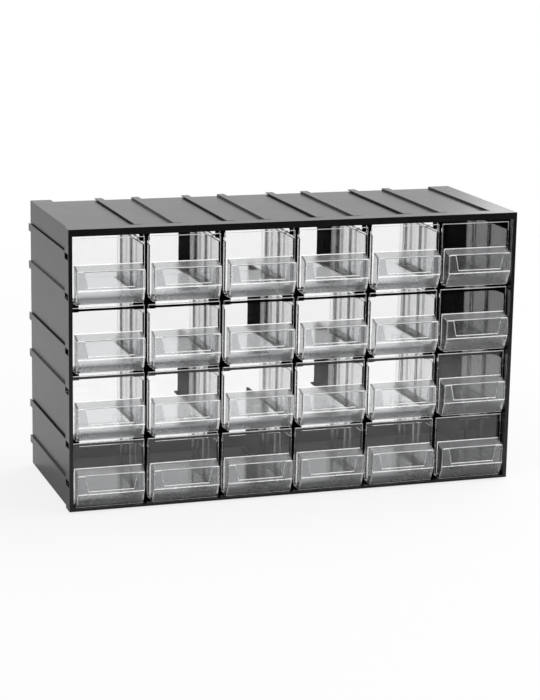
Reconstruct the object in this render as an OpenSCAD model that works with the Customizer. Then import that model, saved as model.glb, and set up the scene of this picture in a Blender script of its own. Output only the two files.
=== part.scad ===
// Parts bin cabinet: a dark moulded casing with interlock rails, an open grid and clear drawers.
// Millimetres. +Z is up, +Y runs from the drawer fronts to the open back, and the origin is the
// centre of the footprint on the resting plane. Inside the modules, x, y and z start at the lower
// left corner of the front rim; in_frame() moves them to the origin.

/* [Casing] */
// Pitch of the interlock rails: the rim measures a whole number of these each way
module_pitch = 76.4; // [70:0.1:90]
// Rail modules across the width
modules_w = 5; // [3:1:7]
// Rail modules up the height
modules_h = 3; // [2:1:5]
// Depth of the casing, from the rim to the open back
case_d = 148; // [130:1:220]
// Thickness of the casing walls
wall_t = 1.45; // [1:0.05:2.2]
// Height of the rim's lower bar, under the bottom drawers' lips
sill_t = 2; // [1.6:0.1:2.1]
// How far the rim's upper bar hangs below the underside of the top wall
lintel_drop = 2.4; // [0:0.1:3]
// Height of the lip along the rear edge of the casing's floor
rear_lip_h = 10; // [4:0.5:20]

/* [Interlock rails] */
// Outer width of a pair of hooked ribs
rail_span = 38.2; // [30:0.1:44]
// Width of one rib, with its lip
rib_w = 6.2; // [4:0.1:8]
// Height of the ribs, and depth of the recess that they stand in
rib_h = 1.75; // [1.2:0.05:2.5]
// How far a rib's lip overhangs
lip_reach = 1.6; // [0.8:0.1:2.5]
// Thickness of the lip
lip_t = 0.85; // [0.5:0.05:1.1]
// Gap between the ribs of two joined cabinets
rail_gap = 0.4; // [0.2:0.05:0.8]
// Length of the opening behind the collar at the end of each top rib
rib_notch_l = 1.5; // [1:0.5:12]
// Thickness of the rim in front of the side ribs' openings
notch_web = 1.5; // [1:0.1:4]
// Margin of the collar left above and below each side rib's opening
notch_margin = 0.6; // [0.3:0.1:1]
// Width of the raised strips at the two ends of the top
end_strip_w = 19.1; // [10:0.1:24]

/* [Grid] */
// Columns of drawers
columns = 6; // [3:1:8]
// Rows of drawers
rows = 4; // [2:1:5]
// Thickness of the upright bars between the columns
mullion_t = 2; // [1.5:0.1:4]
// Depth of the upright bars
mullion_d = 4.5; // [3:0.5:8]
// How far the grid is set back from the rim
grid_setback = 8.5; // [8:0.5:14]
// Thickness of the runners under the drawers and of the header
tier_t = 1.5; // [1.2:0.1:3]
// Thickness of the cross bars between the rows
bar_t = 1.4; // [1:0.1:2]
// How far the cross bars lie under the floors of the drawers above them
bar_drop = 8.1; // [7:0.1:9]
// Depth of the cross bars and of the lugs
bar_d = 3; // [2:0.5:5]
// Width of the runner under each drawer wall
runner_w = 3; // [2:0.5:8]
// How far the runners and fences reach back past the drawers
runner_extra = 3; // [1:0.5:20]
// Height of the fence between two drawers
fence_h = 5; // [3:0.5:12]
// Width of a lug, which carries the drawer above it and stops the one below
lug_w = 8; // [4.5:0.5:12]
// Width of a lug of the header, which only stops the drawer below
header_lug_w = 3; // [2.5:0.1:12]
// How far the lugs reach down below the cross bars
lug_h = 0.6; // [0.4:0.1:2]
// Where the webs start, behind the rim
web_start = 77; // [60:1:95]
// Gap from the ends of the webs to the back edge of the casing
web_back_gap = 14; // [2:0.5:20]

/* [Drawers] */
// Thickness of the drawer walls
drawer_t = 1.5; // [1.2:0.1:2.5]
// Clearance on each side of a drawer
side_gap = 0.45; // [0.3:0.05:1.2]
// Clearance between a drawer and its runners
seat_gap = 0.25; // [0.15:0.05:0.3]
// Clearance between a drawer's sides and the lugs above them
head_gap = 2.2; // [1:0.1:3]
// How far the window stands up above the drawer's sides
window_rise = 6.8; // [4:0.1:8]
// How far the window is set back from the rim
window_setback = 7.5; // [6:0.5:8]
// Length of a drawer, from its window to its back
drawer_l = 85.5; // [75:0.5:100]
// How much lower a drawer's back wall is than its sides
back_drop = 2; // [0:0.5:15]
// Height of the ledge at the foot of the window
ledge_z = 28.3; // [26:0.1:34]
// How far the pull stands out in front of the window
pull_out = 11; // [8:0.5:16]
// How much narrower the pull is on each side than the drawer
pull_inset = 2.3; // [1:0.1:5]
// Height of the top of the label plate
plate_top_z = 25.1; // [22:0.1:26]
// Height of the bottom of the label plate
plate_bottom_z = 9.5; // [7:0.1:12]
// How far the slope under the plate runs back
slope_run = 5.5; // [3:0.5:8]
// How far the lip hangs below the drawer's floor
lip_drop = 2.5; // [2:0.1:2.7]
// Gap between the lip and the cross bar
stop_gap = 0.3; // [0.2:0.05:0.8]

/* [Label holder] */
// Width of the label holder's side tabs at their feet
tab_w = 9; // [6:0.5:14]
// How much narrower the side tabs are at their tops
tab_taper = 2.8; // [0:0.1:3]
// Height of the label holder's bottom strip
strip_h = 2.6; // [1.5:0.1:5]
// Thickness of the label holder's frame
frame_t = 1; // [0.8:0.1:1.5]
// Gap for the label, between the frame and the plate
label_gap = 0.6; // [0.4:0.1:1]

/* [Divider slots and stops] */
// Depth of the first divider slot behind the window
slot_1 = 36; // [25:1:50]
// Depth of the second divider slot behind the window
slot_2 = 68; // [55:1:70]
// Height of a slot's ribs above the drawer wall
slot_rib = 1; // [0.6:0.1:2]
// Clear width of a divider slot
slot_gap = 1.6; // [1:0.1:3]
// Width of the stop horns on a drawer's rear corners
horn_w = 5; // [3:0.5:8]
// Height of the stop horns above the drawer's sides
horn_h = 4.6; // [4:0.1:6]

/* [Hidden] */
$fn = 32;
casing_colour = [0.16, 0.17, 0.17];
grid_colour = [0.05, 0.05, 0.05];
drawer_colour = [0.86, 0.9, 0.92, 0.45];
cut = 0.5; // how far a cut runs past the face that it opens

case_w = modules_w * module_pitch;
case_h = modules_h * module_pitch;
edge_t = rib_h + wall_t; // rim face to cell, on the top and the two sides
collar_d = grid_setback + mullion_d;
bar_y = collar_d;

left_in = edge_t; // inside faces of the casing walls
right_in = case_w - wall_t;
bottom_in = wall_t;
top_in = case_h - edge_t;
lintel_z = top_in - lintel_drop;

col_pitch = (case_w - 2 * edge_t + mullion_t) / columns;
cell_w = col_pitch - mullion_t;
cell_h = (case_h - 2 * edge_t - (rows + 1) * tier_t) / rows;
row_pitch = cell_h + tier_t;
function cell_x(col) = edge_t + (col - 1) * col_pitch;
function floor_z(row) = edge_t + tier_t + (rows - row) * row_pitch;
function mullion_x(gap) = cell_x(gap + 1) - mullion_t;
cells_end = case_w - edge_t; // right-hand side of the last column

drawer_w = cell_w - 2 * side_gap;
lug_reach = bar_drop + bar_t + lug_h; // from a floor down to the underside of the lugs
side_h = row_pitch - seat_gap - lug_reach - head_gap;
window_h = side_h + window_rise;
drawer_back = window_setback + drawer_l;
runner_end = drawer_back + runner_extra;
web_end = max(runner_end, case_d - web_back_gap);
plate_y = window_setback - pull_out;
plate_back_y = plate_y + frame_t + label_gap; // front face of the plate behind the label
pull_w = drawer_w - 2 * pull_inset;

// Webs tie the runners together at alternate gaps between the columns, like bricks in a wall
webs_in_odd_rows = [2, 4];
webs_in_even_rows = [3];
function has_web(row, gap) =
    len(search(gap, row % 2 == 1 ? webs_in_odd_rows : webs_in_even_rows)) > 0;

module in_frame()
    translate([-(case_w + rib_h) / 2, -(case_d + plate_y) / 2, rib_h]) children();

// A block between two corners
module block(low, high) translate(low) cube(high - low);

// A prism with its outline drawn in y and z, centred on x = 0
module along_x(outline, width)
    translate([-width / 2, 0, 0]) rotate([90, 0, 90]) linear_extrude(width) polygon(outline);

// ---- casing ----

// Outline of one hooked rib: x across the rib, y away from the wall, lip towards -x
module rib_outline()
    polygon([[lip_reach, -cut], [rib_w, -cut], [rib_w, rib_h], [0, rib_h], [0, rib_h - lip_t],
             [lip_reach, rib_h - lip_t]]);

// One rib along +y from its front end, standing on z = 0, lip towards -x
module rib(length) translate([0, length, 0]) rotate([90, 0, 0]) linear_extrude(length) rib_outline();

// A pair of ribs centred on x = 0, with their lips outwards
module outer_hooks(length)
    for (side = [0, 1]) mirror([side, 0, 0]) translate([-rail_span / 2, 0, 0]) rib(length);

// A pair of ribs centred on x = 0 that grips outer_hooks, with their lips inwards
module inner_hooks(length)
    for (side = [0, 1]) mirror([side, 0, 0])
        translate([rail_span / 2 - lip_reach + rail_gap, 0, 0]) rib(length);

module top_rails() {
    start = collar_d + rib_notch_l;
    for (k = [1:modules_w - 1])
        translate([k * module_pitch, start, case_h - rib_h]) outer_hooks(case_d - start);
    for (x = [0, case_w - end_strip_w])
        block([max(x, rib_h), collar_d - cut, case_h - rib_h - cut], [x + end_strip_w, case_d, case_h]);
}

module left_rails()
    for (k = [1:modules_h])
        translate([rib_h, collar_d, (k - 0.5) * module_pitch]) rotate([0, -90, 0])
            outer_hooks(case_d - collar_d);

module bottom_rails() {
    start = collar_d + rib_notch_l;
    for (k = [1:modules_w - 1])
        translate([k * module_pitch, start, 0]) rotate([0, 180, 0]) inner_hooks(case_d - start);
}

module right_rails() {
    start = collar_d + rib_notch_l;
    for (k = [1:modules_h])
        translate([case_w, start, (k - 0.5) * module_pitch]) rotate([0, 90, 0])
            inner_hooks(case_d - start);
}

// Openings at the front ends of the ribs on the top and on the left side
module rib_notches() {
    for (k = [1:modules_w - 1], side = [0, 1])
        translate([k * module_pitch, 0, 0]) mirror([side, 0, 0])
            block([-rail_span / 2, collar_d, top_in - cut],
                  [-rail_span / 2 + rib_w, collar_d + rib_notch_l, case_h]);
    for (k = [1:modules_h], side = [0, 1])
        translate([0, 0, (k - 0.5) * module_pitch]) mirror([0, 0, side])
            block([-cut, notch_web, rail_span / 2 - rib_w + notch_margin],
                  [left_in + cut, collar_d, rail_span / 2 - notch_margin]);
}

module casing() {
    color(casing_colour) in_frame() {
        difference() {
            union() {
                block([0, 0, 0], [case_w, collar_d, case_h]);
                block([rib_h, 0, 0], [case_w, case_d, case_h - rib_h]);
                top_rails();
                left_rails();
                bottom_rails();
                right_rails();
            }
            block([edge_t, -cut, sill_t], [case_w - edge_t, collar_d + cut, lintel_z]);
            block([left_in, collar_d, bottom_in], [right_in, case_d + cut, top_in]);
            rib_notches();
        }
        block([left_in - cut, case_d - wall_t, bottom_in - cut],
              [right_in + cut, case_d, bottom_in + rear_lip_h]);
    }
}

// ---- grid ----

// Height of the solid under a row's floor: the lowest row's pieces stand on the casing's floor
function under(row) = row == rows ? floor_z(row) - bottom_in : tier_t;

// Lugs at both sides of each column, hanging from the given height
module lugs(top_z, width)
    for (col = [1:columns], x = [0, cell_w - width])
        translate([cell_x(col) + x, bar_y, top_z - lug_reach]) cube([width, bar_d, lug_reach]);

module header() {
    color(grid_colour) in_frame() {
        block([left_in, bar_y, top_in - tier_t], [right_in, bar_y + bar_d, top_in]);
        lugs(top_in, header_lug_w);
    }
}

// The cross bar under a row, with the lugs that carry this row and stop the row below. The lowest bar
// stands on the casing's floor and has no lugs.
module bar(row) {
    z = floor_z(row);
    color(grid_colour) in_frame()
        if (row == rows) block([left_in, bar_y, bottom_in], [right_in, bar_y + bar_d, z]);
        else {
            block([left_in, bar_y, z - bar_drop - bar_t], [right_in, bar_y + bar_d, z - bar_drop]);
            lugs(z, lug_w);
        }
}

// A runner from x0 to x1 behind the bar, level with the row's floor
module runner(row, x0, x1, end)
    block([x0, bar_y + bar_d, floor_z(row) - under(row)], [x1, end, floor_z(row)]);

// A low fence on a runner from x0 to x1, starting at the given depth
module fence(row, x0, x1, start)
    block([x0, start, floor_z(row)], [x1, runner_end, floor_z(row) + fence_h]);

// A web from x, standing on a runner, up to the runner above it or to the casing's top
module web(row, x)
    block([x, web_start, floor_z(row) - cut],
          [x + mullion_t, web_end, row == 1 ? top_in : floor_z(row - 1) - tier_t + cut]);

// The upright between two columns, with the runners and fences that reach back from it
module partition(gap) {
    x = mullion_x(gap);
    color(grid_colour) in_frame() {
        block([x, grid_setback, sill_t], [x + mullion_t, collar_d, lintel_z]);
        for (row = [1:rows]) {
            runner(row, x - runner_w, x + mullion_t + runner_w,
                   has_web(row, gap) ? web_end : runner_end);
            fence(row, x, x + mullion_t, collar_d - cut);
            if (has_web(row, gap)) web(row, x);
        }
    }
}

// The runners along the casing's left wall
module guide_left()
    color(grid_colour) in_frame()
        for (row = [1:rows]) runner(row, left_in, left_in + runner_w, runner_end);

// The runners along the casing's right wall, with the fences that close the wider gap there
module guide_right()
    color(grid_colour) in_frame()
        for (row = [1:rows]) {
            runner(row, cells_end - runner_w, right_in, runner_end);
            fence(row, cells_end, right_in, bar_y + bar_d);
        }

// ---- drawers ----
// A drawer's own x = 0 is its middle and its z = 0 the underside of its floor.

// The slope under the plate runs from the frame's lower edge to the lip, and meets the plate here
slope_top_z = plate_bottom_z - (plate_back_y - plate_y) * (plate_bottom_z + lip_drop) / slope_run;
// Outline of the drawer seen from the side, from the window's top down the pull, round the back
side_outline = [[window_setback, window_h], [window_setback, ledge_z], [plate_back_y, plate_top_z],
                [plate_back_y, slope_top_z], [plate_y + slope_run, -lip_drop],
                [collar_d - stop_gap, -lip_drop], [collar_d - stop_gap, 0], [drawer_back, 0],
                [drawer_back, side_h], [window_setback + drawer_t, side_h],
                [window_setback + drawer_t, window_h]];

function unit(v) = v / norm(v);
// A corner of the outline moved inwards by the wall's thickness (the outline runs anticlockwise)
function inner_corner(before, corner, after, thickness) =
    let (a = unit(corner - before), b = unit(after - corner),
         na = [-a[1], a[0]], nb = [-b[1], b[0]])
    corner + thickness * (na + nb) / (1 + na * nb);
function inset(outline, thickness) =
    [for (i = [0:len(outline) - 1])
        inner_corner(outline[(i + len(outline) - 1) % len(outline)], outline[i],
                     outline[(i + 1) % len(outline)], thickness)];

// The room inside the pull, open upwards only as far as the ledge
module pull_hollow() {
    inner = inset(side_outline, drawer_t);
    inner_back_y = collar_d + cut;
    along_x([inner[1], inner[2], inner[3], inner[4], inner[5], [inner[5][0], drawer_t],
             [inner_back_y, drawer_t], [inner_back_y, inner[1][1]]], pull_w - 2 * drawer_t);
}

// U-shaped frame in front of the label plate: two side tabs and a bottom strip, open at the top
module label_frame() {
    plate_h = plate_top_z - plate_bottom_z;
    foot_x = pull_w / 2 - tab_w;
    root_y = plate_back_y + drawer_t / 2;
    difference() {
        along_x([[root_y, slope_top_z], [plate_back_y, slope_top_z], [plate_y, plate_bottom_z],
                 [plate_y, plate_top_z], [root_y, plate_top_z]], pull_w);
        translate([0, plate_back_y - cut / 2, plate_bottom_z]) rotate([90, 0, 0])
            linear_extrude(frame_t + label_gap)
                polygon([[-foot_x, strip_h], [foot_x, strip_h], [foot_x + tab_taper, plate_h + cut],
                         [-foot_x - tab_taper, plate_h + cut]]);
        block([-pull_w / 2 + drawer_t, plate_back_y - label_gap, plate_bottom_z + strip_h / 2],
              [pull_w / 2 - drawer_t, plate_back_y, plate_top_z + cut]);
    }
}

// Ribs on both side walls that hold a divider across the drawer
module divider_slot(depth)
    for (side = [0, 1], y = [-slot_rib, slot_gap])
        mirror([side, 0, 0])
            block([drawer_w / 2 - drawer_t - slot_rib, window_setback + depth + y, drawer_t - cut],
                  [drawer_w / 2 - drawer_t + cut, window_setback + depth + y + slot_rib, side_h]);

module stop_horns()
    for (side = [0, 1])
        mirror([side, 0, 0])
            block([drawer_w / 2 - horn_w, drawer_back - drawer_t, side_h - back_drop - cut],
                  [drawer_w / 2, drawer_back, side_h + horn_h]);

module drawer_moulding() {
    difference() {
        union() {
            block([-drawer_w / 2, window_setback, 0], [drawer_w / 2, drawer_back, side_h]);
            block([-drawer_w / 2, window_setback, 0],
                  [drawer_w / 2, window_setback + drawer_t, window_h]);
            along_x([for (i = [1:6]) side_outline[i]], pull_w);
        }
        block([-drawer_w / 2 + drawer_t, window_setback + drawer_t, drawer_t],
              [drawer_w / 2 - drawer_t, drawer_back - drawer_t, side_h + cut]);
        block([-drawer_w / 2 + drawer_t, drawer_back - drawer_t - cut, side_h - back_drop],
              [drawer_w / 2 - drawer_t, drawer_back + cut, side_h + cut]);
        pull_hollow();
    }
    label_frame();
    divider_slot(slot_1);
    divider_slot(slot_2);
    stop_horns();
}

module drawer(row, col)
    color(drawer_colour) in_frame()
        translate([cell_x(col) + cell_w / 2, 0, floor_z(row) + seat_gap]) drawer_moulding();

casing();
header();
guide_left();
guide_right();
for (row = [1:rows]) bar(row);
for (gap = [1:columns - 1]) partition(gap);
for (row = [1:rows], col = [1:columns])
    drawer(row, col);
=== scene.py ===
"""Looks of a parts bin cabinet: a black moulded casing with an open grid and clear drawers."""
from math import radians

import bmesh
import bpy
from mathutils import Matrix, Vector


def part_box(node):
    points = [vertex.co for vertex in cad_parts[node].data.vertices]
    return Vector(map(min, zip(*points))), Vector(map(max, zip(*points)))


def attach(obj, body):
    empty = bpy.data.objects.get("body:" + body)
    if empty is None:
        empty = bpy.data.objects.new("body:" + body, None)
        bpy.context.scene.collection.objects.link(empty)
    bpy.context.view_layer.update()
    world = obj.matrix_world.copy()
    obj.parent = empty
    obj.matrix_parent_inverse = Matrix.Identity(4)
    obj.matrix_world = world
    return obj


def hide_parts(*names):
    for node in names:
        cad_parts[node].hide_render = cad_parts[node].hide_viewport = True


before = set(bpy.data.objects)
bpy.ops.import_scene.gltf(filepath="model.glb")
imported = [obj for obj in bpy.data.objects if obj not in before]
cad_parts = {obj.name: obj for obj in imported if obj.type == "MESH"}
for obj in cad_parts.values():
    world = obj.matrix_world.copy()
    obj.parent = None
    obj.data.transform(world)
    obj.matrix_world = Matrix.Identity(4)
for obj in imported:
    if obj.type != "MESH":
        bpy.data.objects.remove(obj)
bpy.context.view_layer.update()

MM = 0.001
SCENE = bpy.context.scene
SCENE.view_settings.view_transform = "Standard"

# ---- sizes ----

ROWS = 4
COLUMNS = 6
FIRST_DRAWER = "drawer_r1c1"
CASING_LOW, CASING_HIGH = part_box("casing")
DRAWER_LOW, DRAWER_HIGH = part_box(FIRST_DRAWER)
PULL_OUT = 11 * MM  # how far the pull stands out in front of the window
WINDOW_FRONT = DRAWER_LOW.y + PULL_OUT
DRAWER_WALL = 1.5 * MM
WALL_TO_OUTSIDE = 3.2 * MM  # from the inside of a casing wall to the outermost face of its rails
MOULD_EDGE = 0.25 * MM  # how far the edges of the black pieces are rounded
DRAWER_EDGE = 0.45 * MM
EDGE_SEGMENTS = 2
REAR_FLANGE_W = 3 * MM
REAR_FLANGE_T = 1.2 * MM
REAR_FLANGE_INSET = 0.1 * MM  # in front of the casing's rear edges
OVERLAP = 0.3 * MM  # how far a flange runs into the walls that carry it
MERGE = 0.001 * MM  # points nearer than this are one

# ---- the camera, at the photograph's angle ----

CAMERA_AT = Vector((-0.5599, -1.6683, 0.5168))
CAMERA_YAW = radians(18.53)
CAMERA_PITCH = radians(13.08)
CAMERA_ROLL = radians(0.96)
UPRIGHT = radians(90)  # turns a camera that looks down so that it looks ahead
FOCAL_PX = 2128
LONG_SIDE_PX = 700
SENSOR_MM = 36
NEAREST = 0.05
FARTHEST = 50


def make_camera():
    data = bpy.data.cameras.new("camera")
    data.sensor_width = SENSOR_MM
    data.lens = FOCAL_PX * SENSOR_MM / LONG_SIDE_PX
    data.clip_start = NEAREST
    data.clip_end = FARTHEST
    camera = bpy.data.objects.new("camera", data)
    turn = Matrix.Rotation(-CAMERA_YAW, 3, "Z") @ Matrix.Rotation(UPRIGHT - CAMERA_PITCH, 3, "X")
    camera.rotation_euler = (turn @ Matrix.Rotation(CAMERA_ROLL, 3, "Z")).to_euler()
    camera.location = CAMERA_AT
    SCENE.collection.objects.link(camera)
    SCENE.camera = camera


# ---- shader maths ----


class Term:
    """A socket of a material in an expression: its operators add Math nodes."""

    def __init__(self, tree, socket):
        self.tree = tree
        self.socket = socket

    def maths(self, operation, first, second):
        node = self.tree.nodes.new("ShaderNodeMath")
        node.operation = operation
        for slot, value in zip(node.inputs, (first, second)):
            plug(self.tree, slot, value)
        return Term(self.tree, node.outputs[0])

    def __add__(self, other):
        return self.maths("ADD", self, other)

    def __radd__(self, other):
        return self.maths("ADD", other, self)

    def __sub__(self, other):
        return self.maths("SUBTRACT", self, other)

    def __rsub__(self, other):
        return self.maths("SUBTRACT", other, self)

    def __mul__(self, other):
        return self.maths("MULTIPLY", self, other)

    def __rmul__(self, other):
        return self.maths("MULTIPLY", other, self)

    def __gt__(self, other):
        return self.maths("GREATER_THAN", self, other)

    def __lt__(self, other):
        return self.maths("LESS_THAN", self, other)

    def either(self, other):
        return self.maths("MAXIMUM", self, other)


def plug(tree, slot, value):
    """Gives a socket a number or a colour, or links a term to it."""
    if isinstance(value, Term):
        tree.links.new(value.socket, slot)
    else:
        slot.default_value = value


def swing(noise, width):
    """A noise of 0 to 1 as a change around 0, of half the width each way."""
    return (noise - 0.5) * width


class Finish:
    """A material or world that is built node by node."""

    def __init__(self, tree):
        self.tree = tree
        tree.nodes.clear()

    def node(self, kind, settings=None, output=0, **sockets):
        """Adds one node, sets its settings, then its sockets, and returns one of its outputs.

        A socket goes by its name, with _ for each space, or by _ and its number.
        """
        node = self.tree.nodes.new("ShaderNode" + kind)
        for name, value in (settings or {}).items():
            setattr(node, name, value)
        for name, value in sockets.items():
            key = int(name[1:]) if name[0] == "_" else name.replace("_", " ")
            plug(self.tree, node.inputs[key], value)
        return Term(self.tree, node.outputs[output]) if node.outputs else node

    def place(self):
        """Where a point is on the piece, in metres."""
        return self.node("TexCoord", output="Object")

    def noise(self, scale, detail=2, roughness=0.5):
        return self.node("TexNoise", output="Fac", Vector=self.place(), Scale=scale, Detail=detail,
                         Roughness=roughness)

    def part_of(self, vector, axis):
        """One coordinate of a vector."""
        return self.node("SeparateXYZ", output="XYZ".index(axis), Vector=vector)

    def ramp(self, value, start, end):
        """Rises smoothly from 0 at start to 1 at end."""
        return self.node("MapRange", {"interpolation_type": "SMOOTHSTEP"}, Value=value, From_Min=start,
                         From_Max=end)

    def mix(self, amount, first, second):
        """Blends two colours."""
        return self.node("Mix", {"data_type": "RGBA"}, output=2, Factor=amount, _6=first, _7=second)

    def blend(self, amount, first, second):
        """Blends two shaders."""
        return self.node("MixShader", _0=amount, _1=first, _2=second)

    def bump(self, height, strength, distance):
        return self.node("Bump", output="Normal", Height=height, Strength=strength, Distance=distance)


def new_material(name):
    material = bpy.data.materials.new(name)
    material.use_nodes = True
    return material, Finish(material.node_tree)


# ---- finishes ----

WHITE = (1, 1, 1, 1)
CASING_BLACK = (0.007, 0.0072, 0.0074, 1)
GRID_BLACK = (0.005, 0.0051, 0.0052, 1)
# painted shade: the casing's inside takes this darker black (the drawers' scuffs take it too)
DULL_BLACK = (0.0015, 0.0015, 0.0015, 1)
# painted light: the paler colour of the casing's inside in the lowest row
PAINTED_LOW_ROW_LIGHT = (0.055, 0.057, 0.057, 1)
LEDGE_TINT = (0.93, 0.94, 0.95, 1)
PULL_TINT = (0.82, 0.83, 0.84, 1)
SLOPE_TINT = (0.62, 0.63, 0.64, 1)
RIB_TINT = (0.3, 0.31, 0.32, 1)
SATIN_IOR = 1.38
# painted shade: with this low IOR the casing's inside reflects less than its outside
DULL_IOR = 1.15
POLYSTYRENE_IOR = 1.45
WORN_GAIN = 2.2  # a worn patch of black plastic is this many times as bright
WORN_LIFT = 0.004  # and brighter by this much more
GRAIN_SCALE = 2600  # the noises' scales count their patches along a metre
PATCH_SCALE = 38
FLOW_SCALE = 45
GLOW_SCALE = 120
SCRATCH_SCALE = 300
BEHIND_GRID = (CASING_LOW.y + 16 * MM, CASING_LOW.y + 24 * MM)  # over this stretch the painted light of the lowest row begins
LOWEST_ROW = (0.09, 0.06)  # over these heights it grows downwards to its full colour
# How far in from the low and the high end of the casing's box its dull inside, painted darker as painted
# shade, starts and stops. On the right that is outside the wall, whose outer face is dull and painted darker
# too.
INSIDE = {"X": (2.6 * MM, 0.8 * MM), "Y": (6 * MM, 0.4 * MM), "Z": (2.2 * MM, 2.3 * MM)}


def inside_casing(f):
    """1 on the surfaces inside the casing and on its right wall's outer face, which take the painted shade,
    0 on the other ones.
    """
    mask = 1
    for axis, (from_low, from_high) in INSIDE.items():
        index = "XYZ".index(axis)
        along = f.part_of(f.place(), axis)
        mask = mask * (along > CASING_LOW[index] + from_low) * (along < CASING_HIGH[index] - from_high)
    return mask


def black_moulding(name, colour, roughness):
    """Satin black plastic with fine moulded grain and faint wear in its gloss. Inside the casing it is dull
    and painted darker, as painted shade, and painted paler in the lowest row, as painted light."""
    material, f = new_material(name)
    grain = f.noise(GRAIN_SCALE, detail=3, roughness=0.6)
    patches = f.noise(PATCH_SCALE, detail=4, roughness=0.55)
    behind_grid = f.ramp(f.part_of(f.place(), "Y"), *BEHIND_GRID)
    # painted light: a mask for the lowest row behind the grid, where the inside is painted paler
    low = f.ramp(f.part_of(f.place(), "Z"), *LOWEST_ROW) * behind_grid
    worn = tuple(value * WORN_GAIN + WORN_LIFT for value in colour[:3]) + (1,)
    grained = f.bump(grain, strength=0.25, distance=0.04 * MM)
    outer = f.node("BsdfPrincipled", IOR=SATIN_IOR, Base_Color=f.mix(swing(patches, 0.8), colour, worn),
                   Normal=grained, Roughness=swing(patches, 0.05) + swing(grain, 0.05) + roughness)
    # painted shade: inside the casing the black is darker and its gloss turned down; painted light makes it
    # paler in the lowest row
    inner = f.node("BsdfPrincipled", IOR=DULL_IOR, Specular_IOR_Level=0.1,
                   Base_Color=f.mix(low, DULL_BLACK, PAINTED_LOW_ROW_LIGHT), Normal=grained,
                   Roughness=swing(patches, 0.1) + 0.85)
    f.node("OutputMaterial", Surface=f.blend(inside_casing(f), outer, inner))
    return material


def clear_moulding(name, tint, clearness, roughness, haze, shade=0.0):
    """Clear polystyrene: haze is how much the flow of the plastic in the mould dulls it in patches, and
    shade is the share of the light that scuffs swallow at each face."""
    material, f = new_material(name)
    flow = f.noise(FLOW_SCALE, detail=3, roughness=0.6)
    shell = f.node("BsdfPrincipled", IOR=POLYSTYRENE_IOR, Transmission_Weight=clearness, Base_Color=tint,
                   Roughness=flow * haze + roughness, Normal=f.bump(flow, strength=0.1, distance=0.3 * MM))
    if shade:
        scuffs = f.node("BsdfPrincipled", IOR=POLYSTYRENE_IOR, Base_Color=DULL_BLACK, Roughness=0.9)
        shell = f.blend(shade, shell, scuffs)
    f.node("OutputMaterial", Surface=shell)
    return material


def painted_glow_edge(name, low, high, clearness):
    """The rounded edges of the clear mouldings, where the light that runs along the walls comes out, given a
    painted glow: its level goes from low to high along them."""
    material, f = new_material(name)
    glow = f.mix(f.noise(GLOW_SCALE), (low, low, low, 1), (high, high, high, 1))
    # painted light: the edge glows by its emission, though it is no lamp
    shell = f.node("BsdfPrincipled", IOR=POLYSTYRENE_IOR, Transmission_Weight=clearness, Base_Color=WHITE,
                   Roughness=f.noise(SCRATCH_SCALE) * 0.2 + 0.15, Emission_Color=glow,
                   Emission_Strength=1.0)
    f.node("OutputMaterial", Surface=shell)
    return material


# ---- the room ----

FLOOR_SIZE = 12
FLOOR_GREY = (0.86, 0.86, 0.86, 1)
FLOOR_WHITE = 0.8  # share of the floor's white that takes no shadow, near the cabinet
NO_SHADOW = (0.35, 1.3)  # over these distances from the cabinet's middle the share grows to the whole
AMBIENT = 0.55
ROOM_DARK = 0.02  # the unlit room behind the camera, as polished and clear faces show it
UNLIT_FLOOR = (0.42, 0.62)  # over this stretch forwards the floor mirrors more and more as the unlit room
UNLIT_ROOM = (-0.1, -0.45)  # and so does the room, over this stretch of a direction's y
AIM = (0, 0, 0.1)  # near the cabinet's middle
LAMPS = (  # name, place, the point that it faces, width and height, watts
    ("key", (-1.1, -1.2, 1.9), AIM, (1.4, 1.0), 11),
    ("fill", (1.6, -1.3, 1.1), AIM, (1.0, 1.0), 10),
    ("top", (0.9, 0.4, 1.9), AIM, (1.6, 1.2), 20),
    ("rear", (1.9, 2.4, 0.9), (0.1, 0, 0.2), (1.2, 0.8), 5))


def seen_and_polished(f):
    """Two masks: rays that should meet the white background, and rays off or through a polished face."""
    path = f.tree.nodes.new("ShaderNodeLightPath")
    camera, glossy, through = [Term(f.tree, path.outputs[f"Is {kind} Ray"])
                               for kind in ("Camera", "Glossy", "Transmission")]
    return camera.either(through), glossy.either(through)


def make_world():
    world = bpy.data.worlds.new("studio")
    world.use_nodes = True
    SCENE.world = world
    f = Finish(world.node_tree)
    seen, polished = seen_and_polished(f)
    unlit = f.ramp(f.part_of(f.node("TexCoord", output="Generated"), "Y"), *UNLIT_ROOM)
    white = f.node("Background", Color=WHITE, Strength=1.0)
    soft = f.node("Background", Color=WHITE, Strength=AMBIENT)
    dark = f.node("Background", Color=WHITE, Strength=ROOM_DARK)
    bright = f.blend(seen.either(polished), soft, white)
    f.node("OutputWorld", Surface=f.blend(polished * unlit, bright, dark))


def make_floor():
    bpy.ops.mesh.primitive_plane_add(size=FLOOR_SIZE, location=(0, 0, 0))
    floor = bpy.context.object
    floor.name = "floor"
    material, f = new_material("pale_floor")
    seen, polished = seen_and_polished(f)
    place = f.place()
    reach = f.node("VectorMath", {"operation": "LENGTH"}, output=1, _0=place)
    unlit = f.ramp(0 - f.part_of(place, "Y"), *UNLIT_FLOOR)
    share = f.ramp(reach, *NO_SHADOW) * (1 - FLOOR_WHITE) + FLOOR_WHITE
    lit = f.node("BsdfDiffuse", Color=FLOOR_GREY)
    white = f.node("Emission", Color=WHITE, Strength=1.0)
    dark = f.node("Emission", Color=WHITE, Strength=ROOM_DARK)
    bright = f.blend(seen * share, lit, white)
    f.node("OutputMaterial", Surface=f.blend(polished * unlit, bright, dark))
    floor.data.materials.append(material)


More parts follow.
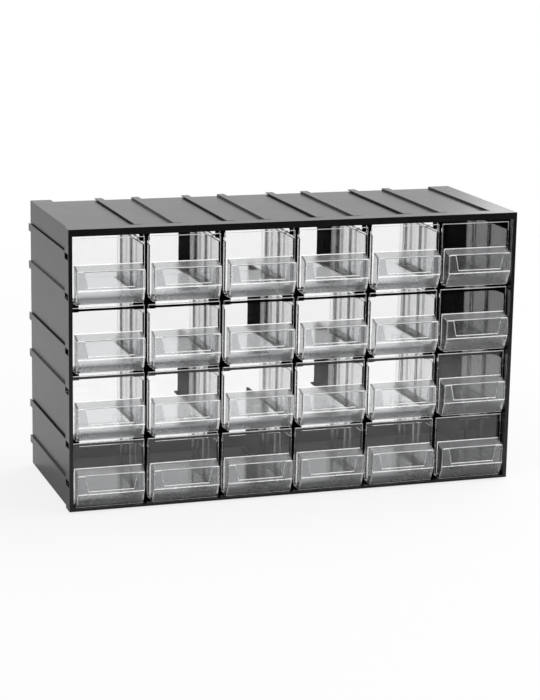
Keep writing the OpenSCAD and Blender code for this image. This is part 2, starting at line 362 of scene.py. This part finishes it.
def make_lamp(name, at, towards, size, watts):
    data = bpy.data.lights.new(name, "AREA")
    data.shape = "RECTANGLE"
    data.size, data.size_y = size
    data.energy = watts
    lamp = bpy.data.objects.new(name, data)
    lamp.location = at
    lamp.rotation_euler = (Vector(towards) - Vector(at)).to_track_quat("-Z", "Y").to_euler()
    SCENE.collection.objects.link(lamp)


# ---- the casing and the grid ----

COPLANAR = radians(0.5)
SHARP = radians(30)


def select_none():
    for obj in bpy.context.selected_objects:
        obj.select_set(False)


def dress(node, material):
    """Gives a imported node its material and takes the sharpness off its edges."""
    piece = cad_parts[node]
    piece.data.materials.clear()
    piece.data.materials.append(material)
    merge = piece.modifiers.new("merge", "WELD")
    merge.merge_threshold = MERGE
    flat = piece.modifiers.new("flat_faces", "DECIMATE")
    flat.decimate_type = "DISSOLVE"
    flat.angle_limit = COPLANAR
    rounded = piece.modifiers.new("rounded_edges", "BEVEL")
    rounded.width = MOULD_EDGE
    rounded.segments = EDGE_SEGMENTS
    rounded.limit_method = "ANGLE"
    rounded.angle_limit = SHARP
    rounded.loop_slide = False


def make_rear_flange(side, wall, inwards, material):
    """A narrow flange along the rear edge of a side wall. The right one closes the sight line past the last
    column of drawers. wall is the x of the wall's inside face, and inwards is 1 or -1, the way from it."""
    middle = (wall + inwards * (REAR_FLANGE_W - OVERLAP) / 2,
              CASING_HIGH.y - REAR_FLANGE_INSET - REAR_FLANGE_T / 2,
              (CASING_LOW.z + CASING_HIGH.z) / 2)
    height = CASING_HIGH.z - CASING_LOW.z - 2 * WALL_TO_OUTSIDE + 2 * OVERLAP
    select_none()
    bpy.ops.mesh.primitive_cube_add(size=1, location=middle,
                                    scale=(REAR_FLANGE_W + OVERLAP, REAR_FLANGE_T, height))
    piece = bpy.context.object
    piece.name = f"rear_flange_{side}"
    bpy.ops.object.transform_apply(location=True, rotation=True, scale=True)
    bpy.ops.object.mode_set(mode="EDIT")
    bpy.ops.mesh.select_all(action="SELECT")
    bpy.ops.mesh.bevel(offset=MOULD_EDGE, segments=EDGE_SEGMENTS)
    bpy.ops.object.mode_set(mode="OBJECT")
    piece.data.materials.append(material)
    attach(piece, "cabinet")


def make_cabinet():
    casing = black_moulding("satin_black_casing", CASING_BLACK, roughness=0.26)
    grid = black_moulding("satin_black_grid", GRID_BLACK, roughness=0.36)
    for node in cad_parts:
        if node == "casing":
            dress(node, casing)
        elif not node.startswith("drawer"):
            dress(node, grid)
    make_rear_flange("left", CASING_LOW.x + WALL_TO_OUTSIDE, 1, casing)
    make_rear_flange("right", CASING_HIGH.x - WALL_TO_OUTSIDE, -1, casing)


# ---- the drawers ----

BOX, EDGE, PULL, SLOPE, SIDE, SIDE_EDGE, RIB, LEDGE = range(8)  # a drawer's materials
LIP_TURN = radians(20)  # the bluntest corner of a drawer whose rounded edge catches the light, with a painted glow
# How much of a face's normal lies along an axis:
SLOPE_LEAN = 0.3  # up or down, at least, on the slope under a pull
LEVEL_LEAN = 0.6  # up or down, at least, on the ledge and the pull's other level faces
SIDE_TURN = 0.3  # sideways, at least, on the rounded edges whose painted glow is dim
SQUARE = 0.9  # on a wall that stands square to the axis


def drawer_materials():
    return {
        BOX: clear_moulding("clear_polystyrene", WHITE, clearness=1.0, roughness=0.0, haze=0.015),
        EDGE: painted_glow_edge("painted_glow_edge", low=0.1, high=0.6, clearness=0.5),
        LEDGE: clear_moulding("worn_polystyrene", LEDGE_TINT, clearness=0.8, roughness=0.05, haze=0.1),
        PULL: clear_moulding("hazy_polystyrene", PULL_TINT, clearness=0.95, roughness=0.03, haze=0.1),
        SLOPE: clear_moulding("frosted_polystyrene", SLOPE_TINT, clearness=0.92, roughness=0.14, haze=0.28),
        SIDE: clear_moulding("scuffed_polystyrene", WHITE, clearness=1.0, roughness=0.0, haze=0.03,
                             shade=0.07),
        SIDE_EDGE: painted_glow_edge("dim_painted_glow_edge", low=0.0, high=0.2, clearness=0.88),
        RIB: clear_moulding("ribbed_polystyrene", RIB_TINT, clearness=1.0, roughness=0.0, haze=0.03)}


def within_slots(point):
    """Whether a point is on the ribs of the divider slots, inside the drawer."""
    middle = (DRAWER_LOW.x + DRAWER_HIGH.x) / 2
    half = (DRAWER_HIGH.x - DRAWER_LOW.x) / 2 - DRAWER_WALL
    start = WINDOW_FRONT + 2 * DRAWER_WALL
    end = DRAWER_HIGH.y - 2 * DRAWER_WALL
    return abs(point.x - middle) < half and start < point.y < end


def select_painted_glow_edges(piece):
    """In edit mode, selects the sharp outward edges, and the corner where the ledge meets the window."""
    bpy.context.tool_settings.mesh_select_mode = (False, True, False)
    bpy.ops.mesh.select_all(action="DESELECT")
    shape = bmesh.from_edit_mesh(piece.data)
    for edge in shape.edges:
        if len(edge.link_faces) == 2 and not within_slots((edge.verts[0].co + edge.verts[1].co) / 2):
            turn = edge.calc_face_angle_signed()
            on_window = all(abs(vert.co.y - WINDOW_FRONT) < MERGE for vert in edge.verts)
            if turn > LIP_TURN or (turn < -SHARP and on_window):
                edge.select_set(True)
    bmesh.update_edit_mesh(piece.data)


def material_of(face):
    """Which of the drawer's materials a face takes, by its old one and by where it is."""
    sideways, along, upright = (abs(share) for share in face.normal)
    if face.material_index == EDGE:
        return SIDE_EDGE if sideways > SIDE_TURN else EDGE
    if face.center.y < WINDOW_FRONT - MERGE:
        if upright > LEVEL_LEAN:
            return LEDGE
        return SLOPE if upright > SLOPE_LEAN else PULL
    if sideways > SQUARE:
        return SIDE
    if along > SQUARE and within_slots(face.center):
        return RIB
    return BOX


def model_drawer(materials):
    """One drawer as it leaves the mould: a merged copy of the solid with rounded edges that catch the light,
    with a painted glow.
    """
    piece = bpy.data.objects.new("drawer_pattern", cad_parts[FIRST_DRAWER].data.copy())
    SCENE.collection.objects.link(piece)
    piece.data.materials.clear()
    for index in sorted(materials):
        piece.data.materials.append(materials[index])
    select_none()
    piece.select_set(True)
    bpy.context.view_layer.objects.active = piece
    bpy.ops.object.mode_set(mode="EDIT")
    bpy.ops.mesh.select_all(action="SELECT")
    bpy.ops.mesh.remove_doubles(threshold=MERGE)
    bpy.ops.mesh.dissolve_limited(angle_limit=COPLANAR)
    select_painted_glow_edges(piece)
    bpy.ops.mesh.bevel(offset=DRAWER_EDGE, segments=EDGE_SEGMENTS, material=EDGE, loop_slide=False,
                       clamp_overlap=False)
    bpy.ops.object.mode_set(mode="OBJECT")
    for face in piece.data.polygons:
        face.material_index = material_of(face)
    return piece


def make_drawer(row, column, pattern):
    node = f"drawer_r{row}c{column}"
    piece = bpy.data.objects.new(f"clear_{node}", pattern.data.copy())
    piece.data.transform(Matrix.Translation(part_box(node)[0] - DRAWER_LOW))
    SCENE.collection.objects.link(piece)
    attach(piece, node)
    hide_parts(node)


def make_drawers():
    pattern = model_drawer(drawer_materials())
    for row in range(1, ROWS + 1):
        for column in range(1, COLUMNS + 1):
            make_drawer(row, column, pattern)
    bpy.data.objects.remove(pattern)


select_none()
make_camera()
make_world()
make_floor()
for lamp in LAMPS:
    make_lamp(*lamp)
make_cabinet()
make_drawers()
